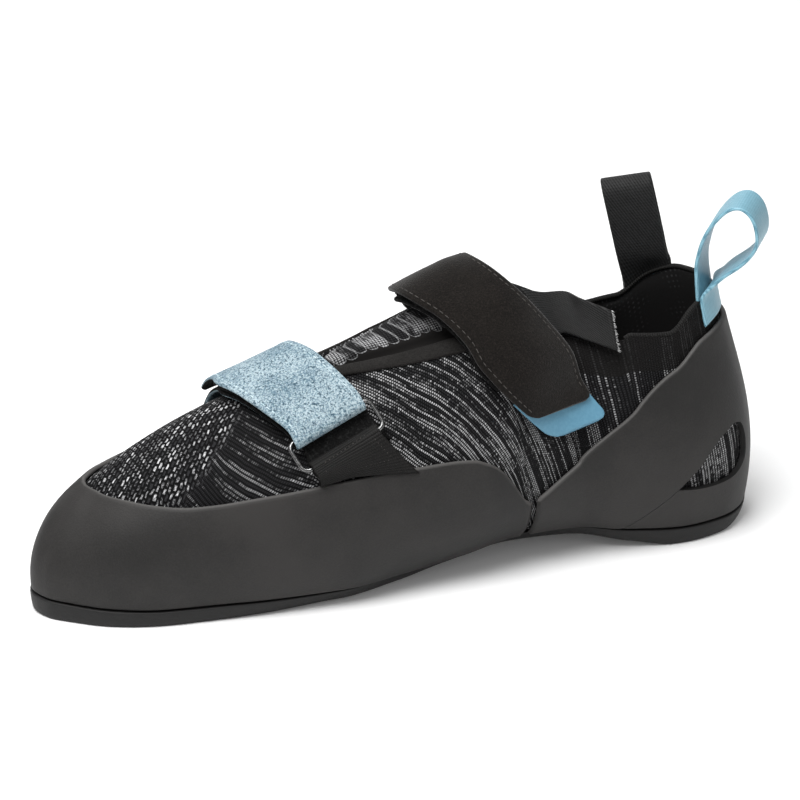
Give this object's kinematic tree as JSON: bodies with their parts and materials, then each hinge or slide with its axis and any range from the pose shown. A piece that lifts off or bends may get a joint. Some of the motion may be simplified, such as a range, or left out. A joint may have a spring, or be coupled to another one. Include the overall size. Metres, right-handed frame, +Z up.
{
  "type": "climbing shoe",
  "caption": "Low right climbing shoe with knitted upper, wrapped rubber rands, smooth outsole and two crossing hook-and-loop straps turned through wire rings.",
  "frame": {"origin": "on the floor under the middle of the heel seat", "axes": "+X to the toe, +Y to the medial side, +Z up"},
  "size_m": [0.2658, 0.0953, 0.1249],
  "materials": {
    "rubber": "matt",
    "knit": "knitted",
    "tongue_knit": "knitted",
    "black_suede": "suede",
    "black_webbing": "woven",
    "blue_suede": "suede",
    "blue_webbing": "woven",
    "blue_tab": "satin",
    "wire": "dark plated",
    "insole": "matt"
  },
  "bodies": {
    "root": {"outsole": "rubber", "insole": "insole", "upper": "knit", "tongue": "tongue_knit", "throat_binding_medial": "black_webbing", "throat_binding_lateral": "black_webbing", "toe_rand": "rubber", "heel_rand": "rubber", "front_strap": "blue_suede", "front_strap_hook": "black_webbing", "front_keeper": "black_webbing", "front_ring": "wire", "rear_strap": "black_suede", "rear_strap_hook": "black_webbing", "rear_keeper": "black_webbing", "rear_ring": "wire", "rear_strap_tab": "blue_tab", "tongue_tab": "black_webbing", "pull_loop_medial": "blue_webbing", "pull_loop_lateral": "black_webbing"}
  },
  "joints": []
}
